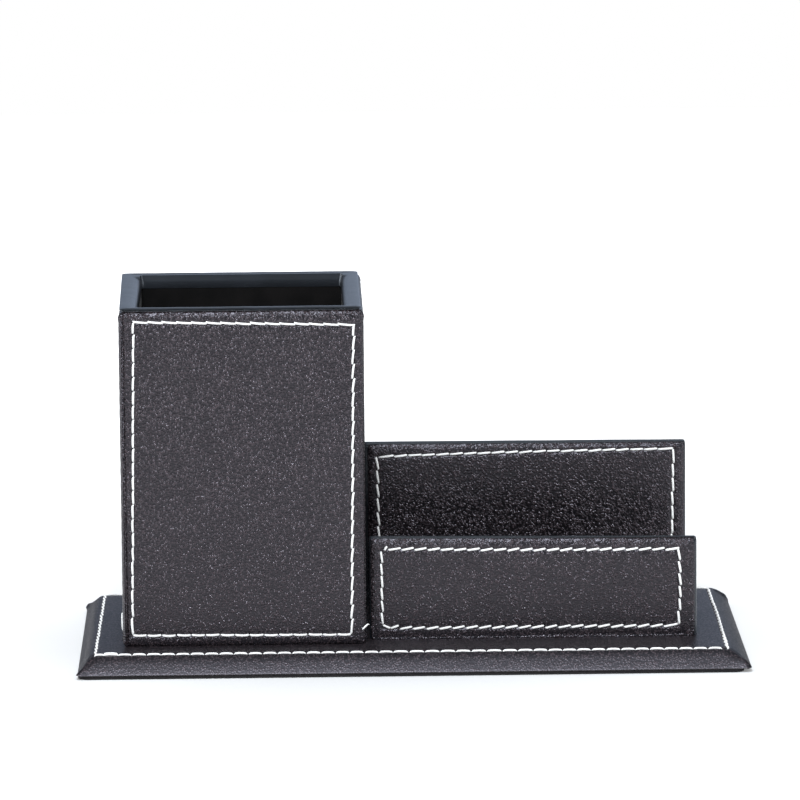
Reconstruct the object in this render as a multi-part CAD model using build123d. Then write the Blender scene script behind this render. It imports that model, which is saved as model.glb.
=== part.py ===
"""Desk organiser in stitched leather: a square pen cup and a two-board card holder on one base.

Millimetres. Origin at the centre of the base's underside, +X to the right, +Y to the back, +Z up.
Each piece is written to parts/NODE.step.
"""
import os

from build123d import *

# Leather, card, felt and thread
leather = 0.8            # cover leather and the leather of each stitched panel
card = 0.6               # stiffener that each stitched panel is turned round
wrap = 0.6               # thin plain leather on the cup's sleeve and the boards' backs
lining = 0.8             # flannel inside the cup
felt = 0.6               # felt under the base
thread_width = 0.9
thread_rise = 0.75       # top of a stitch above the floor of its groove
thread_web = 0.25        # the thread where it dips between two stitches
groove_depth = 0.35      # how far the thread pulls the leather in
groove_slack = 0.15      # leather's clearance on each side of the thread
stitch_gap = 0.6
stitch_ramp = 0.5        # length over which a stitch rises out of its hole

# Pen cup
cup_width = 73.0
cup_depth = 73.0
cup_height = 102.0       # above the base
cup_wall = 3.0           # fibreboard of the box
cup_floor_thick = 4.0
rim_turn = 1.2           # how far the sleeve's turned rim comes down inside
cup_stitch_pitch = 4.3

# Card holder
board_width = 98.0
board_core = 2.6         # fibreboard of the two boards
front_board_height = 30.4
back_board_height = 51.0
back_board_reach = 0.7     # the back board comes this much nearer to the cup
slot_depth = 42.2        # free space between the two boards
board_stitch_pitch = 3.95

# Stitched panels
cup_panel_drop = 0.9     # a cup panel's top edge below the rim
board_panel_drop = 0.3   # a board panel's top edge below the board's top edge
panel_reveal = 0.4       # a board's panel inside the board's ends
panel_round = 0.6        # soft front edges of a turned panel
side_stitch_inset = 2.8  # stitch line from the panel's upright edges
top_stitch_inset = 3.1
foot_stitch_inset = 3.5

# Places on the base
left_margin = 13.5       # base edge to the cup
right_margin = 14.3      # boards to the base edge
front_margin = 16.5      # base edge to the cup's front
back_margin = 10.5       # cup's back to the base edge
board_gap = 1.2          # between the cup and the boards
board_setback = 6.5      # front board behind the cup's front

# Base
base_board_thick = 4.3
bevel_run = 5.1          # width of the sloping edge, seen from above
bevel_bow = 0.55         # how far the slope bulges from a straight line
lip_rise = 0.4           # the edge's widest line above the leather's underside
lip_inset = 1.0          # leather drawn in under the widest line
turn_under = 12.0        # leather glued on the board's underside
felt_inset = 2.0         # felt inside the base's widest outline
base_stitch_inset = 0.7  # stitch line inside the flat top
base_stitch_pitch = 4.3

# Fixings
screw_shank = 3.0
screw_head = 5.6
screw_cover = 0.8        # floor board left over a screw's tip
screw_slot = 0.6         # width and depth of the driver slot
screw_inset = 14.0       # screw from the floor board's edges
pin_shank = 1.4
pin_head = 2.8
pin_head_thick = 0.7
pin_bite = 11.0          # pin length in a board's core
pin_inset = 12.0         # outer pins from the core's ends
pins_per_board = 3
head_slack = 0.1         # around and over a sunk head

# Worked out from the sizes above
panel = leather + card
board_thick = wrap + board_core + panel
rows_depth = max(cup_depth, board_setback + slot_depth + 2 * board_thick)
base_width = left_margin + cup_width + board_gap + board_width + right_margin
base_depth = front_margin + rows_depth + back_margin
base_top = felt + leather + base_board_thick + leather
cup_top = base_top + cup_height
cup_x = -base_width / 2 + left_margin + cup_width / 2
cup_y = -base_depth / 2 + front_margin + cup_depth / 2
board_x = base_width / 2 - right_margin - board_width / 2
front_board_y = -base_depth / 2 + front_margin + board_setback
back_board_y = front_board_y + board_thick + slot_depth
groove_width = thread_width + 2 * groove_slack
standing = (Align.CENTER, Align.CENTER, Align.MIN)

nodes = {}


def block(width, depth, height, x=0.0, y=0.0, z=0.0):
    """Box on its underside at height z, centred on x and y."""
    return Pos(x, y, z) * Box(width, depth, height, align=standing)


def frame(width, depth, band, height, x=0.0, y=0.0, z=0.0):
    """Rectangular ring whose centre line measures width by depth."""
    outer = block(width + band, depth + band, height, x, y, z)
    inner = block(width - band, depth - band, height, x, y, z)
    return outer - inner


# Thread
def stitch_profile(length, pitch):
    """Side view of one row of lockstitch: it arches over the leather and dips into each hole."""
    count = max(2, round(length / pitch))
    step = length / count
    ramp = min(stitch_ramp, (step - stitch_gap) / 3)
    end = length / 2
    points = [(-end, 0.0), (-end, thread_web)]
    for index in range(count):
        left = index * step + stitch_gap / 2 - end
        right = left + step - stitch_gap
        points += [(left, thread_web), (left + ramp, thread_rise)]
        points += [(right - ramp, thread_rise), (right, thread_web)]
    points += [(end, thread_web), (end, 0.0)]
    return points


def stitch_row(length, pitch):
    """One row along X, lying on z = 0 and centred on the origin."""
    face = make_face(Polyline(stitch_profile(length, pitch), close=True))
    upright = Plane.XZ * face
    return extrude(upright, thread_width / 2, both=True)


def stitch_ring(width, depth, pitch):
    """Four rows in one closed run of thread round a rectangle, lying on z = 0."""
    long_row = stitch_row(width + thread_width, pitch)
    short_row = stitch_row(depth - thread_width, pitch)
    ring = Pos(0, -depth / 2, 0) * long_row
    ring += Pos(0, depth / 2, 0) * long_row
    ring += Pos(-width / 2, 0, 0) * Rot(0, 0, 90) * short_row
    ring += Pos(width / 2, 0, 0) * Rot(0, 0, 90) * short_row
    return ring


# Turned leather panel with its card and thread
def stitched_panel(name, face, width, height, pitch):
    """Panel on a plane whose Z points out of the panel, with its lower edge at the plane's origin."""
    body = block(width, height, panel, 0, height / 2, 0)
    soft = min(panel_round, 0.8 * panel)
    front_edges = body.edges().group_by(Axis.Z)[-1]
    body = fillet(front_edges, soft)
    stiffener = block(width - 2 * leather, height - 2 * leather, card, 0, height / 2, 0)
    run_width = width - 2 * side_stitch_inset
    run_height = height - top_stitch_inset - foot_stitch_inset
    run_y = foot_stitch_inset + run_height / 2
    floor = panel - groove_depth
    groove = frame(run_width, run_height, groove_width, groove_depth, 0, run_y, floor)
    nodes[name + "_card"] = face * stiffener
    nodes[name + "_leather"] = face * (body - stiffener - groove)
    nodes[name + "_thread"] = face * (Pos(0, run_y, floor) * stitch_ring(run_width, run_height, pitch))


# Fixings from below
def countersunk(radius, shank_radius, length, x, y, z):
    """Shank standing on z with a 45 degree head that narrows upwards from the given radius."""
    shank = Cylinder(shank_radius, length, align=standing)
    head = Cone(radius, shank_radius, radius - shank_radius, align=standing)
    return Pos(x, y, z) * (shank + head)


def flat_headed(radius, head_height, shank_radius, length, x, y, z):
    """Shank standing on z with a flat round head at its foot."""
    shank = Cylinder(shank_radius, length, align=standing)
    head = Cylinder(radius, head_height, align=standing)
    return Pos(x, y, z) * (shank + head)


def screw(x, y):
    """Countersunk wood screw, its head sunk in the underside of the base board."""
    length = screw_length - head_slack
    body = countersunk(screw_head / 2, screw_shank / 2, length, x, y, board_under + head_slack)
    return body - block(screw_head, screw_slot, screw_slot, x, y, board_under + head_slack)


def screw_hole(x, y):
    """Bore and countersink of one screw. The shank bites its bore, so it has no slack there."""
    return countersunk(screw_head / 2 + head_slack, screw_shank / 2, screw_length, x, y, board_under)


def pin(x, y):
    """Panel pin, its head sunk in the underside of the base board."""
    length = pin_length - head_slack
    return flat_headed(pin_head / 2, pin_head_thick, pin_shank / 2, length, x, y, board_under + head_slack)


def pin_hole(x, y):
    """Bore of one pin with the pocket for its head."""
    pocket = pin_head_thick + head_slack
    return flat_headed(pin_head / 2 + head_slack, pocket, pin_shank / 2, pin_length, x, y, board_under)


board_under = felt + leather
screw_length = base_board_thick + leather + cup_floor_thick - screw_cover
pin_length = base_board_thick + leather + pin_bite
floor_width = cup_width - 2 * (panel + wrap + cup_wall)
floor_depth = cup_depth - 2 * (panel + wrap + cup_wall)
screw_places = [
    (cup_x + side * (floor_width / 2 - screw_inset), cup_y + end * (floor_depth / 2 - screw_inset))
    for side in (-1, 1)
    for end in (-1, 1)
]
core_width = board_width - 2 * wrap
pin_step = (core_width - 2 * pin_inset) / (pins_per_board - 1)
pin_columns = [board_x - core_width / 2 + pin_inset + index * pin_step for index in range(pins_per_board)]
core_middle = panel + board_core / 2
front_pins = [(x, front_board_y + core_middle) for x in pin_columns]
back_pins = [(x, back_board_y + core_middle) for x in pin_columns]
holes = [screw_hole(x, y) for x, y in screw_places] + [pin_hole(x, y) for x, y in front_pins + back_pins]


# Base
def slab_section(length, inset):
    """Section of the bevelled slab across one direction, drawn in by inset."""
    half = length / 2
    low = felt
    tip = felt + lip_rise
    underside = Polyline((half, tip), (half - lip_inset, low), (lip_inset - half, low), (-half, tip))
    left_slope = SagittaArc((-half, tip), (bevel_run - half, base_top), bevel_bow)
    top_line = Line((bevel_run - half, base_top), (half - bevel_run, base_top))
    right_slope = SagittaArc((half - bevel_run, base_top), (half, tip), bevel_bow)
    section = make_face(underside + left_slope + top_line + right_slope)
    if inset:
        section = offset(section, -inset, kind=Kind.INTERSECTION)
    return section


def slab(inset=0.0):
    """Bevelled slab with mitred corners: the section along X crossed with the one along Y."""
    along_y = extrude(Plane.XZ * slab_section(base_width, inset), base_depth / 2, both=True)
    along_x = extrude(Plane.YZ * slab_section(base_depth, inset), base_width / 2, both=True)
    return along_y & along_x


base_run_width = base_width - 2 * (bevel_run + base_stitch_inset)
base_run_depth = base_depth - 2 * (bevel_run + base_stitch_inset)
base_groove_floor = base_top - groove_depth
window_width = base_width - 2 * (lip_inset + leather + turn_under)
window_depth = base_depth - 2 * (lip_inset + leather + turn_under)
window = block(window_width, window_depth, leather, 0, 0, felt)
base_board = slab(leather)
base_leather = slab() - base_board - window
base_leather -= frame(base_run_width, base_run_depth, groove_width, groove_depth, 0, 0, base_groove_floor)
for hole in holes:
    base_board -= hole
    base_leather -= hole
felt_sheet = block(base_width - 2 * felt_inset, base_depth - 2 * felt_inset, felt)
nodes["base_board"] = base_board
nodes["base_leather"] = base_leather
nodes["base_felt"] = felt_sheet + window
base_ring = stitch_ring(base_run_width, base_run_depth, base_stitch_pitch)
nodes["base_thread"] = Pos(0, 0, base_groove_floor) * base_ring

# Cup: fibreboard box, sleeve with its rim, panels outside, linings inside
box_width = cup_width - 2 * (panel + wrap)
box_depth = cup_depth - 2 * (panel + wrap)
wall_height = cup_height - wrap
bore_width = floor_width - 2 * lining
bore_depth = floor_depth - 2 * lining
wall_y = (box_depth - cup_wall) / 2
wall_x = (box_width - cup_wall) / 2
nodes["cup_front_wall"] = block(box_width, cup_wall, wall_height, cup_x, cup_y - wall_y, base_top)
nodes["cup_back_wall"] = block(box_width, cup_wall, wall_height, cup_x, cup_y + wall_y, base_top)
nodes["cup_left_wall"] = block(cup_wall, floor_depth, wall_height, cup_x - wall_x, cup_y, base_top)
nodes["cup_right_wall"] = block(cup_wall, floor_depth, wall_height, cup_x + wall_x, cup_y, base_top)

sleeve = block(box_width + 2 * wrap, box_depth + 2 * wrap, cup_height, cup_x, cup_y, base_top)
sleeve -= block(bore_width, bore_depth, cup_height, cup_x, cup_y, base_top)
rim_edges = sleeve.faces().sort_by(Axis.Z)[-1].edges()
sleeve = fillet(rim_edges, 0.8 * wrap)
rim_foot = base_top + wall_height - rim_turn
walls_and_linings = block(box_width, box_depth, wall_height - rim_turn, cup_x, cup_y, base_top)
ring_width = floor_width + cup_wall
ring_depth = floor_depth + cup_wall
walls_at_rim = frame(ring_width, ring_depth, cup_wall, rim_turn, cup_x, cup_y, rim_foot)
nodes["cup_sleeve"] = sleeve - walls_and_linings - walls_at_rim

cup_floor = block(floor_width, floor_depth, cup_floor_thick, cup_x, cup_y, base_top)
for x, y in screw_places:
    cup_floor -= screw_hole(x, y)
nodes["cup_floor"] = cup_floor
floor_top = base_top + cup_floor_thick
nodes["cup_floor_lining"] = block(bore_width, bore_depth, lining, cup_x, cup_y, floor_top)
lining_height = cup_height - wrap - rim_turn - cup_floor_thick
lining_y = (floor_depth - lining) / 2
lining_x = (floor_width - lining) / 2
nodes["cup_front_lining"] = block(floor_width, lining, lining_height, cup_x, cup_y - lining_y, floor_top)
nodes["cup_back_lining"] = block(floor_width, lining, lining_height, cup_x, cup_y + lining_y, floor_top)
nodes["cup_left_lining"] = block(lining, bore_depth, lining_height, cup_x - lining_x, cup_y, floor_top)
nodes["cup_right_lining"] = block(lining, bore_depth, lining_height, cup_x + lining_x, cup_y, floor_top)

# The side panels run the full depth, and the front and back panels stand between them
panel_height = cup_height - cup_panel_drop
inner_panel_width = cup_width - 2 * panel
front_face = Plane((cup_x, cup_y - cup_depth / 2 + panel, base_top), x_dir=(1, 0, 0), z_dir=(0, -1, 0))
back_face = Plane((cup_x, cup_y + cup_depth / 2 - panel, base_top), x_dir=(-1, 0, 0), z_dir=(0, 1, 0))
left_face = Plane((cup_x - cup_width / 2 + panel, cup_y, base_top), x_dir=(0, -1, 0), z_dir=(-1, 0, 0))
right_face = Plane((cup_x + cup_width / 2 - panel, cup_y, base_top), x_dir=(0, 1, 0), z_dir=(1, 0, 0))
stitched_panel("cup_front", front_face, inner_panel_width, panel_height, cup_stitch_pitch)
stitched_panel("cup_back", back_face, inner_panel_width, panel_height, cup_stitch_pitch)
stitched_panel("cup_left", left_face, cup_depth, panel_height, cup_stitch_pitch)
stitched_panel("cup_right", right_face, cup_depth, panel_height, cup_stitch_pitch)


# Card holder
def upright_board(name, front_y, height, pins, reach=0.0):
    """Fibreboard core, plain leather round its back, ends and top, and a stitched panel on its front."""
    core_y = front_y + core_middle
    middle_x = board_x - reach / 2
    core = block(core_width + reach, board_core, height - wrap, middle_x, core_y, base_top)
    wrap_y = front_y + panel + (board_core + wrap) / 2
    cover = block(board_width + reach, board_core + wrap, height, middle_x, wrap_y, base_top)
    back_edges = cover.faces().sort_by(Axis.Y)[-1].edges().sort_by(Axis.Z)[1:]
    cover = fillet(back_edges, 0.8 * wrap)
    nodes[name + "_wrap"] = cover - core
    for x, y in pins:
        core -= pin_hole(x, y)
    nodes[name + "_core"] = core
    face = Plane((board_x, front_y + panel, base_top), x_dir=(1, 0, 0), z_dir=(0, -1, 0))
    stitched_panel(name, face, board_width - 2 * panel_reveal, height - board_panel_drop, board_stitch_pitch)


upright_board("front_board", front_board_y, front_board_height, front_pins)
upright_board("back_board", back_board_y, back_board_height, back_pins, back_board_reach)

# Fixings
nodes["cup_screws"] = Compound([screw(x, y).solid() for x, y in screw_places])
nodes["front_board_pins"] = Compound([pin(x, y).solid() for x, y in front_pins])
nodes["back_board_pins"] = Compound([pin(x, y).solid() for x, y in back_pins])

os.makedirs("parts", exist_ok=True)
for name, shape in nodes.items():
    export_step(shape, "parts/" + name + ".step")
print("base", base_width, "x", base_depth, "top", base_top, "cup top", cup_top)
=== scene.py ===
import math
import random

import bmesh
import bpy
from mathutils import Matrix, Vector, noise


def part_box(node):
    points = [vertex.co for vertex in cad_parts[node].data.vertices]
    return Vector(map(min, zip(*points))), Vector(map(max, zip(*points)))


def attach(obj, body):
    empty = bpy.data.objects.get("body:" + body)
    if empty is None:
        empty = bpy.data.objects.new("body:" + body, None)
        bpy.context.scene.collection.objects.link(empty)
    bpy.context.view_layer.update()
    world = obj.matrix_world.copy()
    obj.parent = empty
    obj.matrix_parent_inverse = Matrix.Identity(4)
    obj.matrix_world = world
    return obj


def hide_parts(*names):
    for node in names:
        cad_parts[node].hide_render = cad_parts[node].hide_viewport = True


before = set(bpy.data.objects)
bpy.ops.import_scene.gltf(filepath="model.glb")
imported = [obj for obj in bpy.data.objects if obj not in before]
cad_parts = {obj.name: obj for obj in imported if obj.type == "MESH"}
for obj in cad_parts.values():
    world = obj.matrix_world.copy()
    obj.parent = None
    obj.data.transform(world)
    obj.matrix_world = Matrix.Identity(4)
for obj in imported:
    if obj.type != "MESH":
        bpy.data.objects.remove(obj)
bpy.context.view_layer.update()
scene = bpy.context.scene
scene.view_settings.view_transform = "Standard"


# Camera
# The viewpoint of the photograph, worked out from the corners of the base, the cup and the boards.
# It stands 1.8 m in front, a little above, with a long lens.
camera_pitch = math.radians(9.8373)
camera_yaw = math.radians(1.0957)
camera_roll = math.radians(0.4505)
bpy.ops.object.camera_add(location=(-0.0366904, -1.8046799, 0.3876665))
camera = bpy.context.object
turned = Matrix.Rotation(-camera_yaw, 3, "Z") @ Matrix.Rotation(math.pi / 2 - camera_pitch, 3, "X")
camera.rotation_euler = (turned @ Matrix.Rotation(-camera_roll, 3, "Z")).to_euler()
camera.data.lens = 272.41
camera.data.sensor_width = 36
camera.data.clip_start = 0.05
camera.data.clip_end = 60
scene.camera = camera


# Floor and white surroundings
# A plain sheet of white paper. Where the camera sees it directly it glows a little, so it stays white
# to the horizon and still keeps the soft shadow of the organiser.
def linear(hex_value):
    """An sRGB hex colour as the linear RGBA that a shader socket takes."""
    parts = [int(hex_value[i:i + 2], 16) / 255 for i in (1, 3, 5)]
    return [p / 12.92 if p <= 0.04045 else ((p + 0.055) / 1.055) ** 2.4 for p in parts] + [1.0]


def add_node(tree, kind, inputs=None, stops=(), **settings):
    """One shader node with its settings and its inputs, each a plain value or another node's socket. A colour
    ramp also takes its two stops, each a position and an sRGB hex colour."""
    node = tree.nodes.new("ShaderNode" + kind)
    for key, value in settings.items():
        setattr(node, key, value)
    for index, (position, hex_value) in enumerate(stops):
        node.color_ramp.elements[index].position = position
        node.color_ramp.elements[index].color = linear(hex_value)
    for socket, value in (inputs or {}).items():
        if isinstance(value, bpy.types.NodeSocket):
            tree.links.new(value, node.inputs[socket])
        else:
            node.inputs[socket].default_value = value
    return node


def new_material(name):
    """An empty node material and its tree."""
    material = bpy.data.materials.new(name)
    material.use_nodes = True
    material.node_tree.nodes.clear()
    return material, material.node_tree


white_paper, tree = new_material("white_paper")
ray = add_node(tree, "LightPath")
paper = add_node(tree, "BsdfDiffuse", {"Color": linear("#e4e4e4")})
# the glow grows from 0.05 m to 0.5 m from the middle, so the shadow at the organiser's foot stays
place = add_node(tree, "TexCoord").outputs["Object"]
away = add_node(tree, "VectorMath", {0: place}, operation="LENGTH")
fade = add_node(tree, "MapRange", {"Value": away.outputs["Value"], "From Min": 0.05, "From Max": 0.5,
                                   "To Min": 0.02, "To Max": 0.9})
glow = add_node(tree, "Emission", {"Color": linear("#ffffff"), "Strength": fade.outputs[0]})
dark = add_node(tree, "Emission", {"Strength": 0.0})
seen = add_node(tree, "MixShader", {0: ray.outputs["Is Camera Ray"], 1: dark.outputs[0], 2: glow.outputs[0]})
both = add_node(tree, "AddShader", {0: paper.outputs[0], 1: seen.outputs[0]})
add_node(tree, "OutputMaterial", {"Surface": both.outputs[0]})
sheet_side = 2.6
bpy.ops.mesh.primitive_plane_add(size=sheet_side, location=(0, 0, 0))
floor = bpy.context.object
floor.name = "floor"
floor.data.materials.append(white_paper)

# Far behind stands a low strip that glows, though it is no lamp: painted light for the leather to mirror. The
# leather that faces it at a flat angle mirrors it, and the camera sees through it.
strip_glow_material, tree = new_material("glowing_strip_for_reflection")
ray = add_node(tree, "LightPath")
# it glows more at its right end, so the painted light it gives is brighter there
place = add_node(tree, "TexCoord").outputs["Object"]
parts = add_node(tree, "SeparateXYZ", {0: place})
level = add_node(tree, "MapRange", {"Value": parts.outputs["X"], "From Min": -0.3, "From Max": 0.3,
                                    "To Min": 0.5, "To Max": 0.75})
strip_emission = add_node(tree, "Emission", {"Color": linear("#d3e4ff"), "Strength": level.outputs[0]})
clear = add_node(tree, "BsdfTransparent")
seen = add_node(tree, "MixShader", {0: ray.outputs["Is Camera Ray"], 1: strip_emission.outputs[0], 2: clear.outputs[0]})
add_node(tree, "OutputMaterial", {"Surface": seen.outputs[0]})
strip_back = 1.29
strip_height = 0.18
bpy.ops.mesh.primitive_plane_add(size=1, location=(0, strip_back, strip_height / 2),
                                 rotation=(math.pi / 2, 0, 0), scale=(sheet_side, strip_height, 1))
strip = bpy.context.object
strip.name = "glow_strip_card"
strip.data.materials.append(strip_glow_material)

world = bpy.data.worlds.new("white_studio")
world.use_nodes = True
scene.world = world
tree = world.node_tree
tree.nodes.clear()
ray = add_node(tree, "LightPath")
seen = add_node(tree, "Math", {0: ray.outputs["Is Camera Ray"], 1: ray.outputs["Is Glossy Ray"]},
                operation="MAXIMUM")
seen = add_node(tree, "Math", {0: seen.outputs[0], 1: ray.outputs["Is Transmission Ray"]},
                operation="MAXIMUM")
room = add_node(tree, "Background", {"Color": linear("#ffffff"), "Strength": 0.66})
backdrop = add_node(tree, "Background", {"Color": linear("#ffffff"), "Strength": 1.0})
# the leather mirrors a dim, cool room: only the paper below the horizon is bright
walls = add_node(tree, "Background", {"Color": linear("#d8eaff"), "Strength": 0.14})
direct = add_node(tree, "MixShader", {0: ray.outputs["Is Glossy Ray"], 1: backdrop.outputs[0],
                                      2: walls.outputs[0]})
mixed = add_node(tree, "MixShader", {0: seen.outputs[0], 1: room.outputs[0], 2: direct.outputs[0]})
add_node(tree, "OutputWorld", {"Surface": mixed.outputs[0]})


# Studio lamps
# Four soft boxes: the strongest is small and stands in front at 45 degrees up, so the grain of every raised
# edge sparkles. Weaker ones stand at the left, at the right and behind.
def soft_box(name, place, size, watts):
    """A square soft box that faces the organiser."""
    bpy.ops.object.light_add(type="AREA", location=place)
    lamp = bpy.context.object
    lamp.name = name
    lamp.data.shape = "SQUARE"
    lamp.data.size = size
    lamp.data.energy = watts
    lamp.data.color = linear("#f1f8ff")[:3]
    toward = Vector((0, 0, 0.04)) - Vector(place)
    lamp.rotation_euler = toward.to_track_quat("-Z", "Y").to_euler()


soft_box("front_soft_box", (-0.15, -1.35, 1.5), 0.42, 30)
soft_box("left_soft_box", (-1.9, -0.4, 0.5), 1.0, 15)
soft_box("right_soft_box", (1.9, -0.9, 0.5), 0.9, 9)
soft_box("back_soft_box", (0.3, 1.4, 1.8), 1.2, 1.5)


# Base board and the fixings under it
# A bevelled slab of MDF that the cover is glued on. The cup is screwed and the boards are pinned from
# below, and the sunk heads are hidden by the felt. These CAD pieces keep their shape.
mm = 0.001


def coat_node(name, material):
    """Gives a CAD piece its finish."""
    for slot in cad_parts[name].material_slots:
        slot.material = material


# MDF, sawn and sanded: pale brown with short pressed fibres
fibreboard, tree = new_material("sanded_mdf")
place = add_node(tree, "TexCoord").outputs["Object"]
stretched = add_node(tree, "Mapping", {"Vector": place, "Scale": (1, 1, 3)})
# fibres about 1 mm long
fibres = add_node(tree, "TexNoise", {"Vector": stretched.outputs[0], "Scale": 900, "Detail": 4,
                                     "Roughness": 0.65})
tone = add_node(tree, "ValToRGB", {"Fac": fibres.outputs["Fac"]}, [(0.3, "#8f6f4c"), (0.7, "#c3a27a")])
relief = add_node(tree, "Bump", {"Height": fibres.outputs["Fac"], "Strength": 0.4, "Distance": 0.08 * mm})
wood = add_node(tree, "BsdfPrincipled", {"Base Color": tone.outputs["Color"], "Normal": relief.outputs[0],
                                         "Roughness": 0.85, "IOR": 1.45})
add_node(tree, "OutputMaterial", {"Surface": wood.outputs[0]})
coat_node("base_board", fibreboard)

# Zinc plated steel, passivated: bright grey with a faint mottle
zinc_steel, tree = new_material("zinc_plated_steel")
place = add_node(tree, "TexCoord").outputs["Object"]
mottle = add_node(tree, "TexNoise", {"Vector": place, "Scale": 700, "Detail": 3})
rough = add_node(tree, "MapRange", {"Value": mottle.outputs["Fac"], "To Min": 0.28, "To Max": 0.45})
tone = add_node(tree, "ValToRGB", {"Fac": mottle.outputs["Fac"]}, [(0, "#b4b8ba"), (1, "#d2d4d2")])
relief = add_node(tree, "Bump", {"Height": mottle.outputs["Fac"], "Strength": 0.2, "Distance": 0.02 * mm})
metal = add_node(tree, "BsdfPrincipled", {"Base Color": tone.outputs["Color"], "Roughness": rough.outputs[0],
                                          "Normal": relief.outputs[0], "Metallic": 1.0})
add_node(tree, "OutputMaterial", {"Surface": metal.outputs[0]})
for name in ("cup_screws", "front_board_pins", "back_board_pins"):
    coat_node(name, zinc_steel)


# Base cover
# One sheet of black PU leather, glued over the flat top and the sloping edge, folded at the corners and
# turned under the board, where it ends on the felt. The seam sinks in just inside the edge of the top.
def clear_selection():
    """Nothing is selected, so the next operator acts only on what is picked for it."""
    if bpy.context.object and bpy.context.object.mode != "OBJECT":
        bpy.ops.object.mode_set(mode="OBJECT")
    bpy.ops.object.select_all(action="DESELECT")


def edit(kind):
    """Edit mode on the active piece, with nothing picked, in vertex, edge or face mode."""
    bpy.ops.object.mode_set(mode="EDIT")
    bpy.ops.mesh.select_mode(type=kind)
    bpy.ops.mesh.select_all(action="DESELECT")


def pick(kind, test):
    """Picks the faces, edges or vertices of the mesh in edit mode that pass the test."""
    bpy.ops.mesh.select_mode(type=kind)
    bpy.ops.mesh.select_all(action="DESELECT")
    mesh = bmesh.from_edit_mesh(bpy.context.object.data)
    group = {"FACE": mesh.faces, "EDGE": mesh.edges, "VERT": mesh.verts}[kind]
    for element in group:
        if test(element):
            element.select_set(True)
    mesh.select_flush_mode()
    bmesh.update_edit_mesh(bpy.context.object.data)


def apply_place(piece):
    """Puts the object's place and turn into its mesh."""
    clear_selection()
    piece.select_set(True)
    bpy.context.view_layer.objects.active = piece
    bpy.ops.object.transform_apply(location=True, rotation=True, scale=True)


def solid_block(name, low, high):
    """A block between two corners, its place already in the mesh."""
    clear_selection()
    low = Vector(low)
    high = Vector(high)
    bpy.ops.mesh.primitive_cube_add(size=1, location=(low + high) / 2, scale=high - low)
    piece = bpy.context.object
    piece.name = name
    piece.data.name = name
    apply_place(piece)
    return piece


def raise_rings(profile):
    """Insets the picked face from ring to ring. The profile lists each ring's inset and height."""
    inset, height = profile[0]
    for next_inset, next_height in profile[1:]:
        bpy.ops.mesh.inset(thickness=next_inset - inset, depth=next_height - height, use_even_offset=True)
        inset, height = next_inset, next_height


def edge_is(edge, axis, shortest):
    """True for an edge that runs along the axis, 0 for X, 1 for Y and 2 for Z, and is at least so long."""
    run = edge.verts[1].co - edge.verts[0].co
    return abs(run[axis]) > shortest and abs(run[axis]) > 0.999 * run.length


def divide_rings(columns, rows, steps, lowest):
    """Divides the rings above a height: each side into its stitches, and each stitch into steps. A side with
    as many stitches as steps is divided once."""
    for axis, count in ((0, columns), (1, rows)):
        for cuts in (count, steps):
            shortest = (6 if cuts == count else 2.5) * mm
            pick("EDGE", lambda e: edge_is(e, axis, shortest) and max(v.co.z for v in e.verts) > lowest)
            bpy.ops.mesh.subdivide(number_cuts=cuts - 1, smoothness=0)


def round_corner(x, y, half_x, half_y, radius):
    """Moves a point of a ring with square corners on to the ring with round ones."""
    over_x = abs(x) - (half_x - radius)
    over_y = abs(y) - (half_y - radius)
    if over_x <= 0 or over_y <= 0:
        return x, y
    reach = math.hypot(over_x, over_y)
    new_x = half_x - radius + over_x / reach * max(over_x, over_y)
    new_y = half_y - radius + over_y / reach * max(over_x, over_y)
    return math.copysign(new_x, x), math.copysign(new_y, y)


def eased(value):
    """0 below 0, 1 above 1, and smooth between."""
    value = max(0.0, min(1.0, value))
    return value * value * (3 - 2 * value)


def finish_mesh(piece, angle=60):
    """Outward normals and smooth shading, with crisp edges kept above the angle."""
    clear_selection()
    piece.select_set(True)
    bpy.context.view_layer.objects.active = piece
    edit("VERT")
    bpy.ops.mesh.select_all(action="SELECT")
    bpy.ops.mesh.normals_make_consistent(inside=False)
    bpy.ops.object.mode_set(mode="OBJECT")
    bpy.ops.object.shade_smooth_by_angle(angle=math.radians(angle))


low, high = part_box("base_leather")
# how high the cover's lower edge and its widest line lie, and how the lip below is drawn in and rolled under
foot = 0.95 * mm
tip = 1.4 * mm
lip_inset = 1.2 * mm
lip_roll = 0.8 * mm
lip_corner = 3 * mm
cover_leather = 0.8 * mm
base_seam_inset = 5.8 * mm
# how deep the thread pulls the leather in at each hole, and how high the slow waves of the leather are
hole_pull = 0.16 * mm
base_wave = 0.035 * mm


def row_of_holes(start, end, first, last, count, bow=0.0):
    """The holes of a row of stitches, from values in mm. The first and the last stitch may be longer or
    shorter than the rest. Bow is how far the row's middle bulges to the left of its run."""
    start = Vector((start[0], start[1], 0)) * mm
    run = Vector((end[0], end[1], 0)) * mm - start
    middle = (run.length - (first + last) * mm) / (count - 2)
    places = [0.0] + [first * mm + middle * index for index in range(count - 1)] + [run.length]
    aside = Vector((-run.y, run.x, 0)) * 4 * bow * mm / run.length
    return [start + run * (p / run.length) + aside * (p / run.length) * (1 - p / run.length) for p in places]


def seam_shift(x, y, half_x, half_y, corners):
    """How far the sewn seam lies from an even rectangle there, blended between its corners. The corners come
    in the order front or foot left, front or foot right, back or top left, back or top right."""
    right = max(0.0, min(1.0, 0.5 + 0.5 * x / half_x))
    up = max(0.0, min(1.0, 0.5 + 0.5 * y / half_y))
    shifts = [Vector(corner) for corner in corners]
    return shifts[0].lerp(shifts[1], right).lerp(shifts[2].lerp(shifts[3], right), up)


def to_hole(holes, x, y):
    """Distance from a point to the nearest hole."""
    return min(math.hypot(hole.x - x, hole.y - y) for hole in holes)


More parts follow.
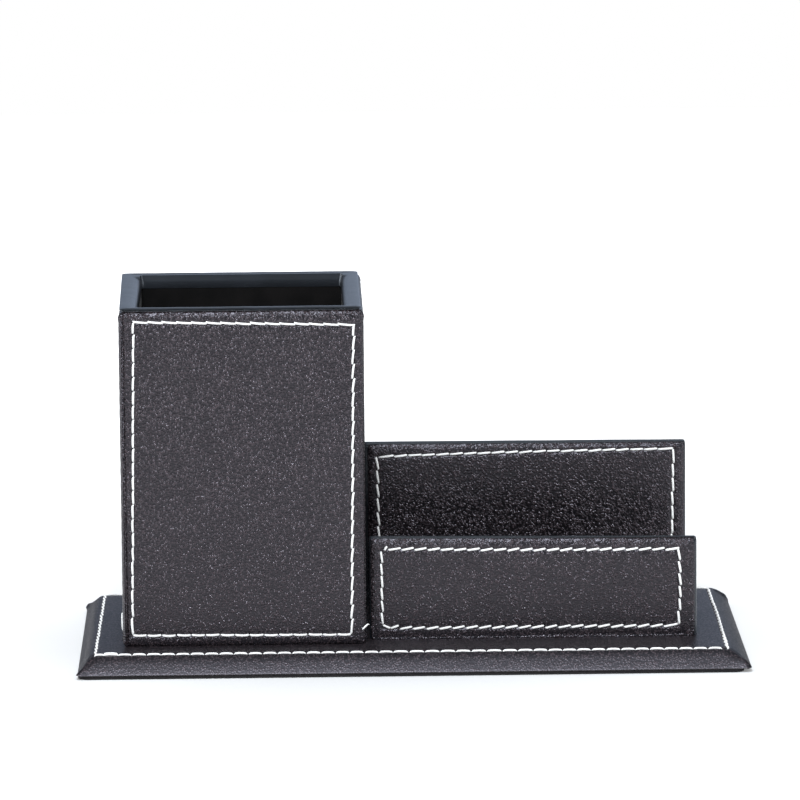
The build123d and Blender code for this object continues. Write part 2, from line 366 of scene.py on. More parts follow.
# The front row starts with a short stitch and a slack one. The rows do not quite meet at the right.
# In its middle the front row was sewn with a longer stitch.
front_row = [Vector((-94.45, -44.0, 0)) * mm, Vector((-91.4, -44.0, 0)) * mm]
front_row += row_of_holes((-87.6, -44.05), (-5.6, -44.23), 4.32, 4.32, 19)
front_row += row_of_holes((-5.6, -44.23), (36.0, -44.32), 4.62, 4.62, 9)[1:]
front_row += row_of_holes((36.0, -44.32), (92.3, -44.45), 4.33, 4.33, 13)[1:]
right_row = row_of_holes((93.75, -43.9), (94.2, 44.2), 4.3, 4.3, 21, -0.3)
back_row = row_of_holes((94.0, 44.25), (-93.7, 44.25), 4.2, 4.2, 44)
left_row = row_of_holes((-93.65, 44.1), (-94.2, -43.7), 4.2, 4.2, 20)
base_corners = [(-0.15 * mm, 0.2 * mm), (-0.35 * mm, -0.25 * mm), (0.3 * mm, 0.05 * mm), (0.05 * mm, 0.0)]

# From the widest line the slope leans over more and more, and at the seam it dips before the flat top: inset
# and height of each ring, in mm
slope = [(0, 0), (0.08, 0.13), (0.32, 0.43), (0.7, 0.88), (1.2, 1.45), (1.8, 2.1), (2.45, 2.8),
         (3.1, 3.45), (3.8, 4.05), (4.5, 4.57), (5.1, 4.85), (5.45, 4.88), (5.8, 4.68), (6.1, 4.88),
         (6.5, 5.02), (7.3, 5.09), (8.5, 5.1), (11, 5.1)]
top = high.z

# The cover starts as a thin block. Below, its edge rolls in and is turned under.
base_cover = solid_block("base_cover", (low.x, low.y, foot), (high.x, high.y, tip))
edit("FACE")
pick("FACE", lambda f: f.normal.z < -0.9)
drawn_in = (1 - 2 * lip_inset / (high.x - low.x), 1 - 2 * lip_inset / (high.y - low.y), 1)
bpy.ops.transform.resize(value=drawn_in)
bpy.ops.mesh.inset(thickness=lip_roll)
bpy.ops.mesh.delete(type="FACE")
pick("FACE", lambda f: f.normal.z > 0.9)
raise_rings([(inset * mm, tip + rise * mm) for inset, rise in slope])
divide_rings(44, 21, 6, -1)
bpy.ops.object.mode_set(mode="OBJECT")

half_x = high.x
half_y = high.y
# at each corner, in mm: how much the fold sinks, or swells where that is negative, and how far in; how much
# it swells lower down, how far in and over what width; and how far its rounded nose stands out
corner_folds = {(-1, -1): (0.5, 3.6, 0.2, 0.6, 1.6, 0.55), (-1, 1): (0.55, 3.2, 0.6, 0.4, 0.9, 0.6),
                (1, -1): (0.45, 3.6, 0.3, 1.4, 2.0, 0.15), (1, 1): (-0.55, 2.3, 0.8, 0.6, 3.5, 0.1)}
holes = front_row + right_row + back_row + left_row
for vertex in base_cover.data.vertices:
    x, y, z = vertex.co
    from_side = half_x - abs(x)
    from_front = half_y - abs(y)
    # the whole slope lies further to the right at both ends
    to_right = (0.8 if x > 0 else 0.6) * mm * eased((abs(x) - half_x + 4.5 * mm) / (3.5 * mm))
    if z < tip - 0.1 * mm:
        # round the foot the leather is drawn in at the corners, and in front it is drawn in least
        x, y = round_corner(x, y, half_x - lip_inset, half_y - lip_inset, lip_corner)
        y -= 0.8 * mm * eased((-y - half_y + 3 * mm) / (1.5 * mm))
        vertex.co = (x, y, z)
        continue
    inset = max(0.0, min(from_side, from_front))
    follow = math.exp(-((inset - base_seam_inset) / (2.2 * mm)) ** 2)
    shift = seam_shift(x, y, half_x - base_seam_inset, half_y - base_seam_inset, base_corners) * follow
    x += shift.x
    y += shift.y
    # the thread pulls the leather down most at its holes
    if abs(inset - base_seam_inset) < 1.3 * mm:
        z -= hole_pull * math.exp(-(to_hole(holes, x, y) / (0.5 * mm)) ** 2)
    # slow unevenness of hand-glued leather, strongest on the slope
    wave = noise.noise(Vector((x, y, 0.3)) / (7 * mm)) + 0.5 * noise.noise(Vector((x, y, 7.1)) / (2.6 * mm))
    z += base_wave * wave * min(1.0, (z - tip) / (2 * mm))
    # the fold at each corner is soft: it sinks in along the mitre, and swells below
    sink, sink_inset, swell, swell_inset, width, nose = corner_folds[(1 if x > 0 else -1, 1 if y > 0 else -1)]
    off_mitre = abs(from_side - from_front)
    along_mitre = math.exp(-((inset - sink_inset * mm) / (2 * mm)) ** 2) * eased(inset / (0.8 * mm))
    z -= sink * mm * along_mitre * math.exp(-(off_mitre / (1.8 * mm)) ** 2)
    low_down = math.exp(-((inset - swell_inset * mm) / (1.0 * mm)) ** 2)
    z += swell * mm * low_down * math.exp(-(off_mitre / (width * mm)) ** 2)
    # the widest line is rounded in plan at the corner, and its nose stands out
    x, y = round_corner(x, y, half_x - inset, half_y - inset, 1.4 * mm * (1 - eased(inset / (3 * mm))))
    stand_out = nose * mm * math.exp(-(from_side ** 2 + from_front ** 2) / (3 * mm) ** 2)
    x += math.copysign(stand_out, x) + to_right
    y += math.copysign(stand_out, y)
    vertex.co = (x, y, z)
bpy.context.view_layer.objects.active = base_cover
thick = base_cover.modifiers.new("leather thickness", "SOLIDIFY")
thick.thickness = cover_leather
thick.offset = -1
bpy.ops.object.modifier_apply(modifier=thick.name)
finish_mesh(base_cover, 50)


def embossed_leather(name, relief_depth, satin):
    """PU leather, embossed with a fine pebble grain and a satin topcoat. The light breaks into small specks,
    and shines more where it grazes the surface. Satin is the roughness of the pebbles' tops."""
    leather, tree = new_material(name)
    place = add_node(tree, "TexCoord").outputs["Object"]
    # pebbles about 0.6 mm across, their outlines pushed about so that no two are alike, some of them flatter
    wander = add_node(tree, "TexNoise", {"Vector": place, "Scale": 1200, "Detail": 2})
    centred = add_node(tree, "VectorMath", {0: wander.outputs["Color"], 1: (0.5, 0.5, 0.5)},
                       operation="SUBTRACT")
    pushed = add_node(tree, "VectorMath", {0: centred.outputs[0], "Scale": 0.3 * mm}, operation="SCALE")
    moved = add_node(tree, "VectorMath", {0: place, 1: pushed.outputs[0]}, operation="ADD")
    pebbles = add_node(tree, "TexVoronoi", {"Vector": moved.outputs[0], "Scale": 1600, "Randomness": 1.0})
    round_top = add_node(tree, "MapRange", {"Value": pebbles.outputs["Distance"], "From Min": 0.1,
                                            "From Max": 0.75, "To Min": 1.0, "To Max": 0.0},
                         interpolation_type="SMOOTHSTEP")
    clusters = add_node(tree, "TexNoise", {"Vector": place, "Scale": 950, "Detail": 1})
    flatter = add_node(tree, "MapRange", {"Value": clusters.outputs["Fac"], "From Min": 0.35,
                                          "From Max": 0.65, "To Min": 0.4, "To Max": 1.0})
    dome = add_node(tree, "Math", {0: round_top.outputs[0], 1: flatter.outputs[0]}, operation="MULTIPLY")
    # fine pores of 0.15 mm and a slow drift of 12 mm
    pores = add_node(tree, "TexNoise", {"Vector": place, "Scale": 6500, "Detail": 2})
    drift = add_node(tree, "TexNoise", {"Vector": place, "Scale": 85, "Detail": 3, "Roughness": 0.6})
    grain = add_node(tree, "Math", {0: pores.outputs["Fac"], 1: 0.25, 2: dome.outputs[0]},
                     operation="MULTIPLY_ADD")
    # the colour is darker in the creases between the pebbles and lighter on their tops: partly the grain's
    # own tone, partly painted shade in the creases and painted sparkle on the tops
    tone = add_node(tree, "ValToRGB", {"Fac": dome.outputs[0]}, [(0.1, "#0a0708"), (0.85, "#453b3e")])
    shade = add_node(tree, "MapRange", {"Value": drift.outputs["Fac"], "From Min": 0.3, "From Max": 0.7,
                                        "To Min": 0.86, "To Max": 1.12})
    colour = add_node(tree, "VectorMath", {0: tone.outputs["Color"], "Scale": shade.outputs[0]},
                      operation="SCALE")
    rough = add_node(tree, "MapRange", {"Value": dome.outputs[0], "To Min": satin + 0.12, "To Max": satin})
    relief = add_node(tree, "Bump", {"Height": grain.outputs[0], "Strength": 1.0, "Distance": relief_depth})
    skin = add_node(tree, "BsdfPrincipled", {"Base Color": colour.outputs[0], "Roughness": rough.outputs[0],
                                             "Normal": relief.outputs[0], "IOR": 1.66,
                                             "Specular Tint": linear("#faf3ff")})
    add_node(tree, "OutputMaterial", {"Surface": skin.outputs[0]})
    return leather


# over the board of the base the leather is drawn tight, so its grain is shallow
tight_leather = embossed_leather("pebble_grain_pu_leather_drawn_tight", 0.05 * mm, 0.33)
base_cover.data.materials.append(tight_leather)
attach(base_cover, "root")
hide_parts("base_leather")


# Felt under the base
# A sheet of black needle felt, pressed thin at its border, where it shows as a dark line below the leather.
# It is glued under the board and takes the weight on a desk without scratching it.
low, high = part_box("base_felt")
border_top = foot
border_width = 2.2 * mm
felt_corner = 3 * mm
# it does not lie quite in the middle, and reaches nearly to the cover's edge
felt_left, felt_right = -99.3 * mm, 98.7 * mm
felt_front, felt_back = -49.4 * mm, 49.2 * mm
felt_pad = solid_block("felt_pad", (felt_left, felt_front, low.z), (felt_right, felt_back, border_top))
edit("FACE")
pick("FACE", lambda f: f.normal.z > 0.9)
bpy.ops.mesh.inset(thickness=border_width)
bpy.ops.mesh.extrude_region_move(TRANSFORM_OT_translate={"value": (0, 0, high.z - border_top)})
pick("EDGE", lambda e: edge_is(e, 2, 0.6 * mm))
bpy.ops.mesh.bevel(offset=felt_corner, segments=6, affect="EDGES")
pick("EDGE", lambda e: all(v.co.z < 0.01 * mm for v in e.verts))
bpy.ops.mesh.bevel(offset=0.2 * mm, segments=2, affect="EDGES")
finish_mesh(felt_pad, 50)

felt, tree = new_material("needle_felt")
place = add_node(tree, "TexCoord").outputs["Object"]
# matted fibres about 0.4 mm apart, over a slower unevenness of about 5 mm
fuzz = add_node(tree, "TexNoise", {"Vector": place, "Scale": 2500, "Detail": 5, "Roughness": 0.75})
drift = add_node(tree, "TexNoise", {"Vector": place, "Scale": 200, "Detail": 2})
sum_of = add_node(tree, "Math", {0: fuzz.outputs["Fac"], 1: drift.outputs["Fac"]}, operation="ADD")
tone = add_node(tree, "ValToRGB", {"Fac": fuzz.outputs["Fac"]}, [(0.35, "#0d0c0d"), (0.7, "#221f20")])
relief = add_node(tree, "Bump", {"Height": sum_of.outputs[0], "Strength": 0.8, "Distance": 0.2 * mm})
cloth = add_node(tree, "BsdfPrincipled", {"Base Color": tone.outputs["Color"], "Normal": relief.outputs[0],
                                          "Roughness": 0.95, "Sheen Weight": 0.15, "Sheen Roughness": 0.6,
                                          "Specular IOR Level": 0.2})
add_node(tree, "OutputMaterial", {"Surface": cloth.outputs[0]})
felt_pad.data.materials.append(felt)
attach(felt_pad, "root")
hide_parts("base_felt")


# Seam round the base
# White twisted polyester thread, 0.7 mm thick, in lockstitch: each stitch comes out of a hole, arches
# over the leather and goes down into the next hole.
def make_stitch(name, length, thickness, rings):
    """One stitch along X. Each ring says how far along it is, how far aside, how high, and how thick."""
    clear_selection()
    bpy.ops.mesh.primitive_cylinder_add(vertices=8, radius=thickness / 2, depth=length,
                                        end_fill_type="TRIFAN", rotation=(0, math.pi / 2, 0), calc_uvs=True)
    stitch = bpy.context.object
    stitch.name = name
    apply_place(stitch)
    edit("EDGE")
    pick("EDGE", lambda e: edge_is(e, 0, 0.5 * length))
    bpy.ops.mesh.subdivide(number_cuts=len(rings) - 2, smoothness=0)
    spacing = length / (len(rings) - 1)
    for index, (along, aside, high_up, size) in enumerate(rings):
        where = index * spacing - length / 2
        pick("VERT", lambda v: abs(v.co.x - where) < 0.2 * spacing and not v.hide)
        bpy.ops.transform.resize(value=(1, size, size), center_override=(where, 0, 0))
        bpy.ops.transform.translate(value=(along * length / 2 - where, aside * mm, high_up * mm))
        bpy.ops.mesh.hide()
    bpy.ops.mesh.reveal()
    bpy.ops.object.mode_set(mode="OBJECT")
    bpy.ops.object.shade_smooth()
    stitch.hide_render = True
    return stitch


def sew_row(stitch, holes, tilts=(0, 0), loose=1.2, fill=1.0):
    """Copies of a stitch from hole to hole, a little uneven. Tilts: degrees at the row's start and its end.
    Loose is how much the tilt varies, in degrees, and fill how much of each step the stitch covers."""
    row = []
    for index in range(len(holes) - 1):
        step = holes[index + 1] - holes[index]
        copy = stitch.copy()
        copy.data = stitch.data.copy()
        scene.collection.objects.link(copy)
        copy.hide_render = False
        shift = Vector((chance.gauss(0, 0.04), chance.gauss(0, 0.04), 0)) * mm
        copy.location = holes[index] + step / 2 + shift + Vector((0, 0, chance.gauss(0, 0.02) * mm))
        tilt = tilts[0] + (tilts[1] - tilts[0]) * index / max(1, len(holes) - 2) + chance.gauss(0, loose)
        copy.rotation_euler = (0, 0, math.atan2(step.y, step.x) + math.radians(tilt))
        stretch = fill * step.length / stitch_length * chance.uniform(0.98, 1.02)
        copy.scale = (stretch, chance.uniform(0.95, 1.05), chance.uniform(0.96, 1.04))
        row.append(copy)
    return row


def join_pieces(name, pieces):
    """Joins copies into one object with its place in the mesh."""
    clear_selection()
    for piece in pieces:
        piece.select_set(True)
    bpy.context.view_layer.objects.active = pieces[0]
    bpy.ops.object.join()
    joined = bpy.context.object
    joined.name = name
    joined.data.name = name
    apply_place(joined)
    return joined


chance = random.Random(41)
stitch_length = 4.3 * mm
arch = [(-1.0, 0, -0.62, 0.7), (-0.9, 0, -0.3, 0.85), (-0.72, 0, -0.02, 0.97), (-0.3, 0, 0.06, 1.0),
        (0.3, 0, 0.06, 1.0), (0.72, 0, -0.02, 0.97), (0.9, 0, -0.3, 0.85), (1.0, 0, -0.62, 0.7)]
base_stitch = make_stitch("base_stitch", stitch_length, 0.7 * mm, arch)
stitches = sew_row(base_stitch, front_row)
# the second stitch is slack and arches up
stitches[1].location.z += 0.2 * mm
stitches[1].scale = (1.14, 1.2, 1.5)
columns = sew_row(base_stitch, right_row, (9, 9))
columns += sew_row(base_stitch, left_row, (9, 9))
for index, stitch in enumerate(columns):
    # along the sides the thread was pulled tighter; where the right column starts it was sewn over twice
    if index > 3:
        stitch.scale.y *= 0.8
    else:
        stitch.scale.y *= 1.1
stitches += columns + sew_row(base_stitch, back_row)
base_seam = join_pieces("base_seam", stitches)
base_seam.location = (0, 0, top - 0.1 * mm)
apply_place(base_seam)

# Bonded polyester thread, three plies twisted: nearly white, with painted shade as a shallow dark line
# between the plies
white_thread, tree = new_material("twisted_polyester_thread")
flat = add_node(tree, "UVMap", uv_map="UVMap")
parts = add_node(tree, "SeparateXYZ", {0: flat.outputs["UV"]})
# three plies round the thread; each crosses it about every 1.1 mm along its length
plies = add_node(tree, "Math", {0: parts.outputs["X"], 1: 3.0}, operation="MULTIPLY")
turns = add_node(tree, "Math", {0: parts.outputs["Y"], 1: 8.0, 2: plies.outputs[0]}, operation="MULTIPLY_ADD")
angle = add_node(tree, "Math", {0: turns.outputs[0], 1: 2 * math.pi}, operation="MULTIPLY")
ply = add_node(tree, "Math", {0: angle.outputs[0]}, operation="SINE")
ridge = add_node(tree, "MapRange", {"Value": ply.outputs[0], "From Min": -1.0, "From Max": 0.3})
place = add_node(tree, "TexCoord").outputs["Object"]
hairs = add_node(tree, "TexNoise", {"Vector": place, "Scale": 9000, "Detail": 2})
# the colour is darker in the valley between the plies: painted shade
tone = add_node(tree, "ValToRGB", {"Fac": ridge.outputs[0]}, [(0, "#eceae6"), (1, "#fefefd")])
height = add_node(tree, "Math", {0: hairs.outputs["Fac"], 1: 0.3, 2: ridge.outputs[0]},
                  operation="MULTIPLY_ADD")
relief = add_node(tree, "Bump", {"Height": height.outputs[0], "Strength": 0.5, "Distance": 0.06 * mm})
fibre = add_node(tree, "BsdfPrincipled", {"Base Color": tone.outputs["Color"], "Roughness": 0.6,
                                          "Normal": relief.outputs[0], "Sheen Weight": 0.25,
                                          "Specular IOR Level": 0.35})
add_node(tree, "OutputMaterial", {"Surface": fibre.outputs[0]})
base_seam.data.materials.append(white_thread)
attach(base_seam, "root")
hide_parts("base_thread")


# Cup box and its lining
# Four walls and a floor of MDF, lined with black flannel that is glued in below the turned rim. These
# CAD pieces keep their shape; only the flannel is seen, deep in shadow.
flannel, tree = new_material("napped_flannel")
place = add_node(tree, "TexCoord").outputs["Object"]
# nap of about 0.5 mm, brushed in patches of some 6 mm
nap = add_node(tree, "TexNoise", {"Vector": place, "Scale": 2000, "Detail": 4, "Roughness": 0.7})
brushed = add_node(tree, "TexNoise", {"Vector": place, "Scale": 170, "Detail": 2})
tone = add_node(tree, "ValToRGB", {"Fac": brushed.outputs["Fac"]}, [(0.35, "#0a0909"), (0.65, "#121010")])
relief = add_node(tree, "Bump", {"Height": nap.outputs["Fac"], "Strength": 0.6, "Distance": 0.15 * mm})
cloth = add_node(tree, "BsdfPrincipled", {"Base Color": tone.outputs["Color"], "Normal": relief.outputs[0],
                                          "Roughness": 0.95, "Sheen Weight": 0.15, "Specular IOR Level": 0.1})
add_node(tree, "OutputMaterial", {"Surface": cloth.outputs[0]})
sides = ("front", "back", "left", "right")
for side in sides:
    coat_node("cup_" + side + "_wall", fibreboard)
    coat_node("cup_" + side + "_lining", flannel)
coat_node("cup_floor", fibreboard)
coat_node("cup_floor_lining", flannel)


# Cup sleeve
# A plain strip of thin smooth leather round the box. It is turned over the top, where it makes the soft
# rim, and ends just inside, over the flannel.
low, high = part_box("cup_sleeve")
rim_inside = 1.8 * mm
sleeve_leather = 0.6 * mm
rim_flare = 0.7 * mm
# the left part leans to the left at the back, the corners are rounded, and the leather waves a little
rim_lean = 0.9 * mm
rim_corner = 1.1 * mm
rim_wave = 0.06 * mm
# the roll of the rim from its outer edge to its inner edge, in mm: inset, and height above the sleeve's
# upper end
roll = [(0, 0.5), (0.1, 0.6), (0.4, 0.7), (0.9, 0.8), (1.6, 0.86), (2.3, 0.84), (2.95, 0.75), (3.6, 0.56),
        (4.25, 0.22), (4.75, -0.28), (5.05, -0.85), (5.2, -1.5)]
shoulder = high.z - 0.7 * mm
cup_sleeve = solid_block("cup_rim_sleeve", low, (high.x, high.y, shoulder))
edit("FACE")
pick("FACE", lambda f: f.normal.z < -0.9)
bpy.ops.mesh.delete(type="FACE")
# the turned top stands out a little over the panels' upper edges, so a dark gap runs under it
pick("FACE", lambda f: f.normal.z > 0.9)
bpy.ops.mesh.extrude_region_move(TRANSFORM_OT_translate={"value": (0, 0, roll[0][1] * mm)})
flared = (1 + 2 * rim_flare / (high.x - low.x), 1 + 2 * rim_flare / (high.y - low.y), 1)
bpy.ops.transform.resize(value=flared, center_override=(low + high) / 2)
raise_rings([(inset * mm, rise * mm) for inset, rise in roll])
bpy.ops.mesh.extrude_region_move(TRANSFORM_OT_translate={"value": (0, 0, -rim_inside)})
bpy.ops.mesh.delete(type="FACE")
for axis in (0, 1):
    pick("EDGE", lambda e: edge_is(e, axis, 20 * mm))
    bpy.ops.mesh.subdivide(number_cuts=79, smoothness=0)
bpy.ops.object.mode_set(mode="OBJECT")
middle = (low + high) / 2
for vertex in cup_sleeve.data.vertices:
    x, y, z = vertex.co - middle
    # each ring keeps its distance from the outside, and gets round corners
    reach = max(abs(x) - (high.x - low.x) / 2, abs(y) - (high.y - low.y) / 2)
    half_x = (high.x - low.x) / 2 + reach
    half_y = (high.y - low.y) / 2 + reach
    x, y = round_corner(x, y, half_x, half_y, rim_corner)
    above = eased((vertex.co.z - high.z + 6 * mm) / (4 * mm))
    spot = Vector((x, y, 2.2 * mm))
    wave = noise.noise(spot / (9 * mm)) + 0.4 * noise.noise(spot / (3 * mm))
    to_back = (y + half_y) / (2 * half_y)
    to_left = 0.5 - 0.5 * x / half_x
    x -= rim_lean * above * to_back * to_left * eased((reach + 4.4 * mm) / (4 * mm))
    # at the back the turned leather lies flat up to a tight inner edge
    flat = above * eased((to_back - 0.9) / 0.05) * eased((-reach - 1.5 * mm) / (1 * mm))
    if vertex.co.z > high.z - 1 * mm:
        z += flat * (high.z - vertex.co.z)
    z += rim_wave * above * wave
    vertex.co = middle + Vector((x, y, z))
thick = cup_sleeve.modifiers.new("leather thickness", "SOLIDIFY")
thick.thickness = sleeve_leather
thick.offset = -1
bpy.context.view_layer.objects.active = cup_sleeve
bpy.ops.object.modifier_apply(modifier=thick.name)
finish_mesh(cup_sleeve, 50)

# Smooth PU leather, calendered: satin, slightly blue in the highlights, with only a faint grain
smooth_leather, tree = new_material("smooth_pu_leather")
place = add_node(tree, "TexCoord").outputs["Object"]
# faint creases of 0.4 mm and a slow drift of 10 mm
creases = add_node(tree, "TexNoise", {"Vector": place, "Scale": 2500, "Detail": 3, "Roughness": 0.6})
drift = add_node(tree, "TexNoise", {"Vector": place, "Scale": 100, "Detail": 2})
tone = add_node(tree, "ValToRGB", {"Fac": drift.outputs["Fac"]}, [(0.3, "#14161a"), (0.7, "#1d2025")])
rough = add_node(tree, "MapRange", {"Value": creases.outputs["Fac"], "From Min": 0.3, "From Max": 0.7,
                                    "To Min": 0.28, "To Max": 0.38})
relief = add_node(tree, "Bump", {"Height": creases.outputs["Fac"], "Strength": 0.35, "Distance": 0.05 * mm})
skin = add_node(tree, "BsdfPrincipled", {"Base Color": tone.outputs["Color"], "Roughness": rough.outputs[0],
                                         "Normal": relief.outputs[0], "IOR": 1.5,
                                         "Coat Weight": 0.7, "Coat Roughness": 0.3, "Coat IOR": 1.55,
                                         "Coat Normal": relief.outputs[0],
                                         "Specular Tint": linear("#e7f1ff")})
add_node(tree, "OutputMaterial", {"Surface": skin.outputs[0]})
cup_sleeve.data.materials.append(smooth_leather)
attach(cup_sleeve, "root")
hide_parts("cup_sleeve")


# Stitched panels of the cup
# Each is a thin card with pebble-grain leather turned over its edges and glued behind, sewn close to the
# edge before it is glued on the sleeve. The seam draws the leather in and leaves a soft raised margin.

# here the grain keeps its full depth
pebble_leather = embossed_leather("pebble_grain_pu_leather", 0.17 * mm, 0.18)
seam_inset = 2.8 * mm
panel_thick = 1.4 * mm
turned_leather = 0.8 * mm
# across the margin, from the panel's edge to its face, in mm: inset and height above the face. The padded
# edge is rounded, and behind it the seam draws the leather down.
margin_section = [(0, -0.9), (0.06, -0.79), (0.2, -0.68), (0.45, -0.52), (0.75, -0.36), (1.1, -0.2),
                  (1.45, -0.1), (1.8, -0.05), (2.1, -0.05), (2.3, -0.12), (2.55, -0.27), (2.8, -0.43),
                  (3.05, -0.32), (3.3, -0.15), (3.7, -0.05), (4.6, -0.02), (7.0, 0)]


def stand_up(piece, node, turn, along=0.0, sunk=0.0):
    """Puts a piece that was made lying flat on its face's plane in the place of its CAD piece, with a shift
    along the face to the right and into it."""
    low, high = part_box(node)
    turn = math.radians(turn)
    outward = Vector((math.sin(turn), -math.cos(turn), 0))
    half_thick = 0.5 * abs(outward.dot(high - low))
    to_right = Vector((-outward.y, outward.x, 0))
    piece.rotation_euler = (math.pi / 2, 0, turn)
    piece.location = (low + high) / 2 + outward * (half_thick - sunk) + to_right * along
    apply_place(piece)


def flat_size(node, turn):
    """Width and height of a panel's CAD piece, seen square on."""
    low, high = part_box(node)
    size = high - low
    return (size.x if turn in (0, 180) else size.y), size.z


def centred_rows(rows, width, height):
    """Four rows of holes, given from the panel's foot left corner, as seen from its middle."""
    return [[hole - Vector((width / 2, height / 2, 0)) for hole in row] for row in rows]


def turned_panel(name, width, height, rows, seed, upright_share=0.25, swollen_foot=0.0, top_shift=(0.0, 0.0)):
    """A leather panel lying on its back: its face is the plane Z = 0, its middle is the origin. The rows of
    holes run along the top, down the left, down the right and along the foot. The top is shifted by so much
    at its left and its right end."""
    edge_line = margin_section[0][1] * mm
    piece = solid_block(name, (-width / 2, -height / 2, -panel_thick), (width / 2, height / 2, edge_line))
    edit("FACE")
    # behind, the leather is turned round the card, which fills the hollow
    pick("FACE", lambda f: f.normal.z < -0.9)
    bpy.ops.mesh.inset(thickness=turned_leather)
    bpy.ops.mesh.extrude_region_move(TRANSFORM_OT_translate={"value": (0, 0, panel_thick - turned_leather)})
    pick("FACE", lambda f: f.normal.z > 0.9 and abs(f.calc_center_median().z - edge_line) < 0.01 * mm)
    raise_rings([(inset * mm, high_up * mm) for inset, high_up in margin_section])
    divide_rings(round(width / (4 * mm)), round(height / (4 * mm)), 8, edge_line - 0.01 * mm)
    bpy.ops.object.mode_set(mode="OBJECT")
    top, left, right, foot = rows
    even_x = width / 2 - seam_inset
    even_y = height / 2 - seam_inset
    corners = [(left[-1].x + even_x, foot[0].y + even_y), (right[-1].x - even_x, foot[-1].y + even_y),
               (left[0].x + even_x, top[0].y - even_y), (right[0].x - even_x, top[-1].y - even_y)]
    holes = top + left + right + foot
    for vertex in piece.data.vertices:
        x, y, z = vertex.co
        if z < edge_line - 0.01 * mm:
            continue
        from_side = width / 2 - abs(x)
        from_end = height / 2 - abs(y)
        inset = max(0.0, min(from_side, from_end))
        # the seam runs where it was sewn, and the leather on both sides follows it
        follow = eased((inset - 0.5 * mm) / (1.5 * mm)) * (1 - eased((inset - 3.6 * mm) / (8 * mm)))
        shift = seam_shift(x, y, even_x, even_y, corners) * follow
        # the folded corner is thicker than the margin, and lumpy
        corner = math.hypot(from_side - 1.2 * mm, from_end - 1.2 * mm)
        z += 0.2 * mm * math.exp(-(corner / (1.0 * mm)) ** 2)
        # an upright edge is rounded less than the others
        if from_side < from_end:
            z -= upright_share * min(0.0, z) * (1 - eased((inset - 1.2 * mm) / (0.8 * mm)))
        # at the foot of the low board the leather swells out in a narrow bead
        if y < 0:
            z += swollen_foot * math.exp(-((from_end + 0.1 * mm) / (0.55 * mm)) ** 2)
        # slow unevenness of glued leather, in the face and along the turned edge
        spot = Vector((x, y, seed * 0.31))
        wave = noise.noise(spot / (8 * mm)) + 0.5 * noise.noise(spot / (2.4 * mm))
        z += 0.03 * mm * wave * eased(inset / (0.8 * mm))
        ripple = noise.noise(Vector((x, y, seed * 0.77)) / (5 * mm)) * (1 - eased(inset / (2 * mm)))
        ripple *= 0.05 * mm
        radius = 0.9 * mm * (1 - eased(inset / (4 * mm)))
        x, y = round_corner(x, y, width / 2 - inset, height / 2 - inset, radius)
        if from_side < from_end:
            x -= math.copysign(abs(ripple), x)
        else:
            y -= math.copysign(abs(ripple), y)
        if y > 0:
            lifted = top_shift[0] + (top_shift[1] - top_shift[0]) * (x / width + 0.5)
            y += lifted * (1 - eased(from_end / (2 * mm)))
        x += shift.x
        y += shift.y
        # the thread draws the leather down at its holes, and puckers the margin there
        if 0.8 * mm < inset < 4.2 * mm:
            nearest = to_hole(holes, x, y)
            z -= 0.17 * mm * math.exp(-(nearest / (0.45 * mm)) ** 2)
            z -= 0.06 * mm * math.exp(-((nearest - 0.9 * mm) / (0.5 * mm)) ** 2) * (inset < seam_inset)
        vertex.co = (x, y, z)
    finish_mesh(piece, 60)
    piece.data.materials.append(pebble_leather)
    return piece


turns = {"front": 0, "back": 180, "left": -90, "right": 90}
# each panel's top lies a hair below its CAD piece's, which leaves a gap under the rim
cup_top = (-0.14 * mm, -0.14 * mm)
# how far each panel stands beyond its CAD piece at its left and right edge, and how deep it is pressed in,
# in mm
cup_fit = {"front": (0, 1.0, 0), "back": (0, 0, 0), "left": (0, 0, 0.25), "right": (-0.5, 0, -0.2)}


def rows_between(corners, top, left, right, foot):
    """Four rows of holes that meet at the corners: top left, top right, foot left and foot right, in mm from
    the panel's foot left corner. Each row has its first stitch, its last one and the number of stitches."""
    top_left, top_right, foot_left, foot_right = corners
    return [row_of_holes(top_left, top_right, *top), row_of_holes(top_left, foot_left, *left),
            row_of_holes(top_right, foot_right, *right), row_of_holes(foot_left, foot_right, *foot)]


cup_seams = {"front": rows_between([(3.4, 98.1), (68.65, 96.8), (1.8, 3.35), (67.3, 2.95)],
                                   (4.35, 4.35, 15), (3.5, 5.5, 22), (3.4, 4.75, 22), (4.37, 4.37, 15)),
             "back": rows_between([(2.9, 97.7), (67.2, 98.0), (2.7, 3.2), (67.5, 3.4)],
                                  (4.2, 4.4, 15), (3.8, 5.0, 22), (4.0, 4.6, 22), (4.3, 4.3, 15)),
             "left": rows_between([(3.0, 98.0), (70.0, 97.6), (2.6, 3.4), (70.2, 3.2)],
                                  (4.2, 4.3, 16), (3.9, 5.0, 22), (3.6, 4.8, 22), (4.2, 4.2, 16)),
             "right": rows_between([(2.6, 97.5), (69.4, 98.0), (2.4, 3.3), (69.8, 3.1)],
                                   (4.2, 4.3, 16), (3.7, 4.9, 22), (4.1, 4.4, 22), (4.2, 4.2, 16))}
for number, side in enumerate(sides):
    node = "cup_" + side + "_leather"
    width, height = flat_size(node, turns[side])
    at_left, at_right, sunk = (value * mm for value in cup_fit[side])
    width += at_left + at_right
    rows = centred_rows(cup_seams[side], width, height)
    # an upright edge that butts against the next panel is rounded less
    butted = 0.35 if side in ("front", "back") else 0.05
    panel = turned_panel("cup_" + side + "_panel", width, height, rows, number + 1,
                         upright_share=butted, top_shift=cup_top)
    stand_up(panel, node, turns[side], (at_right - at_left) / 2, sunk)
    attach(panel, "root")
    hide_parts(node)

# Greyboard, pressed from waste paper: grey-brown with darker flecks
greyboard, tree = new_material("pressed_greyboard")
place = add_node(tree, "TexCoord").outputs["Object"]
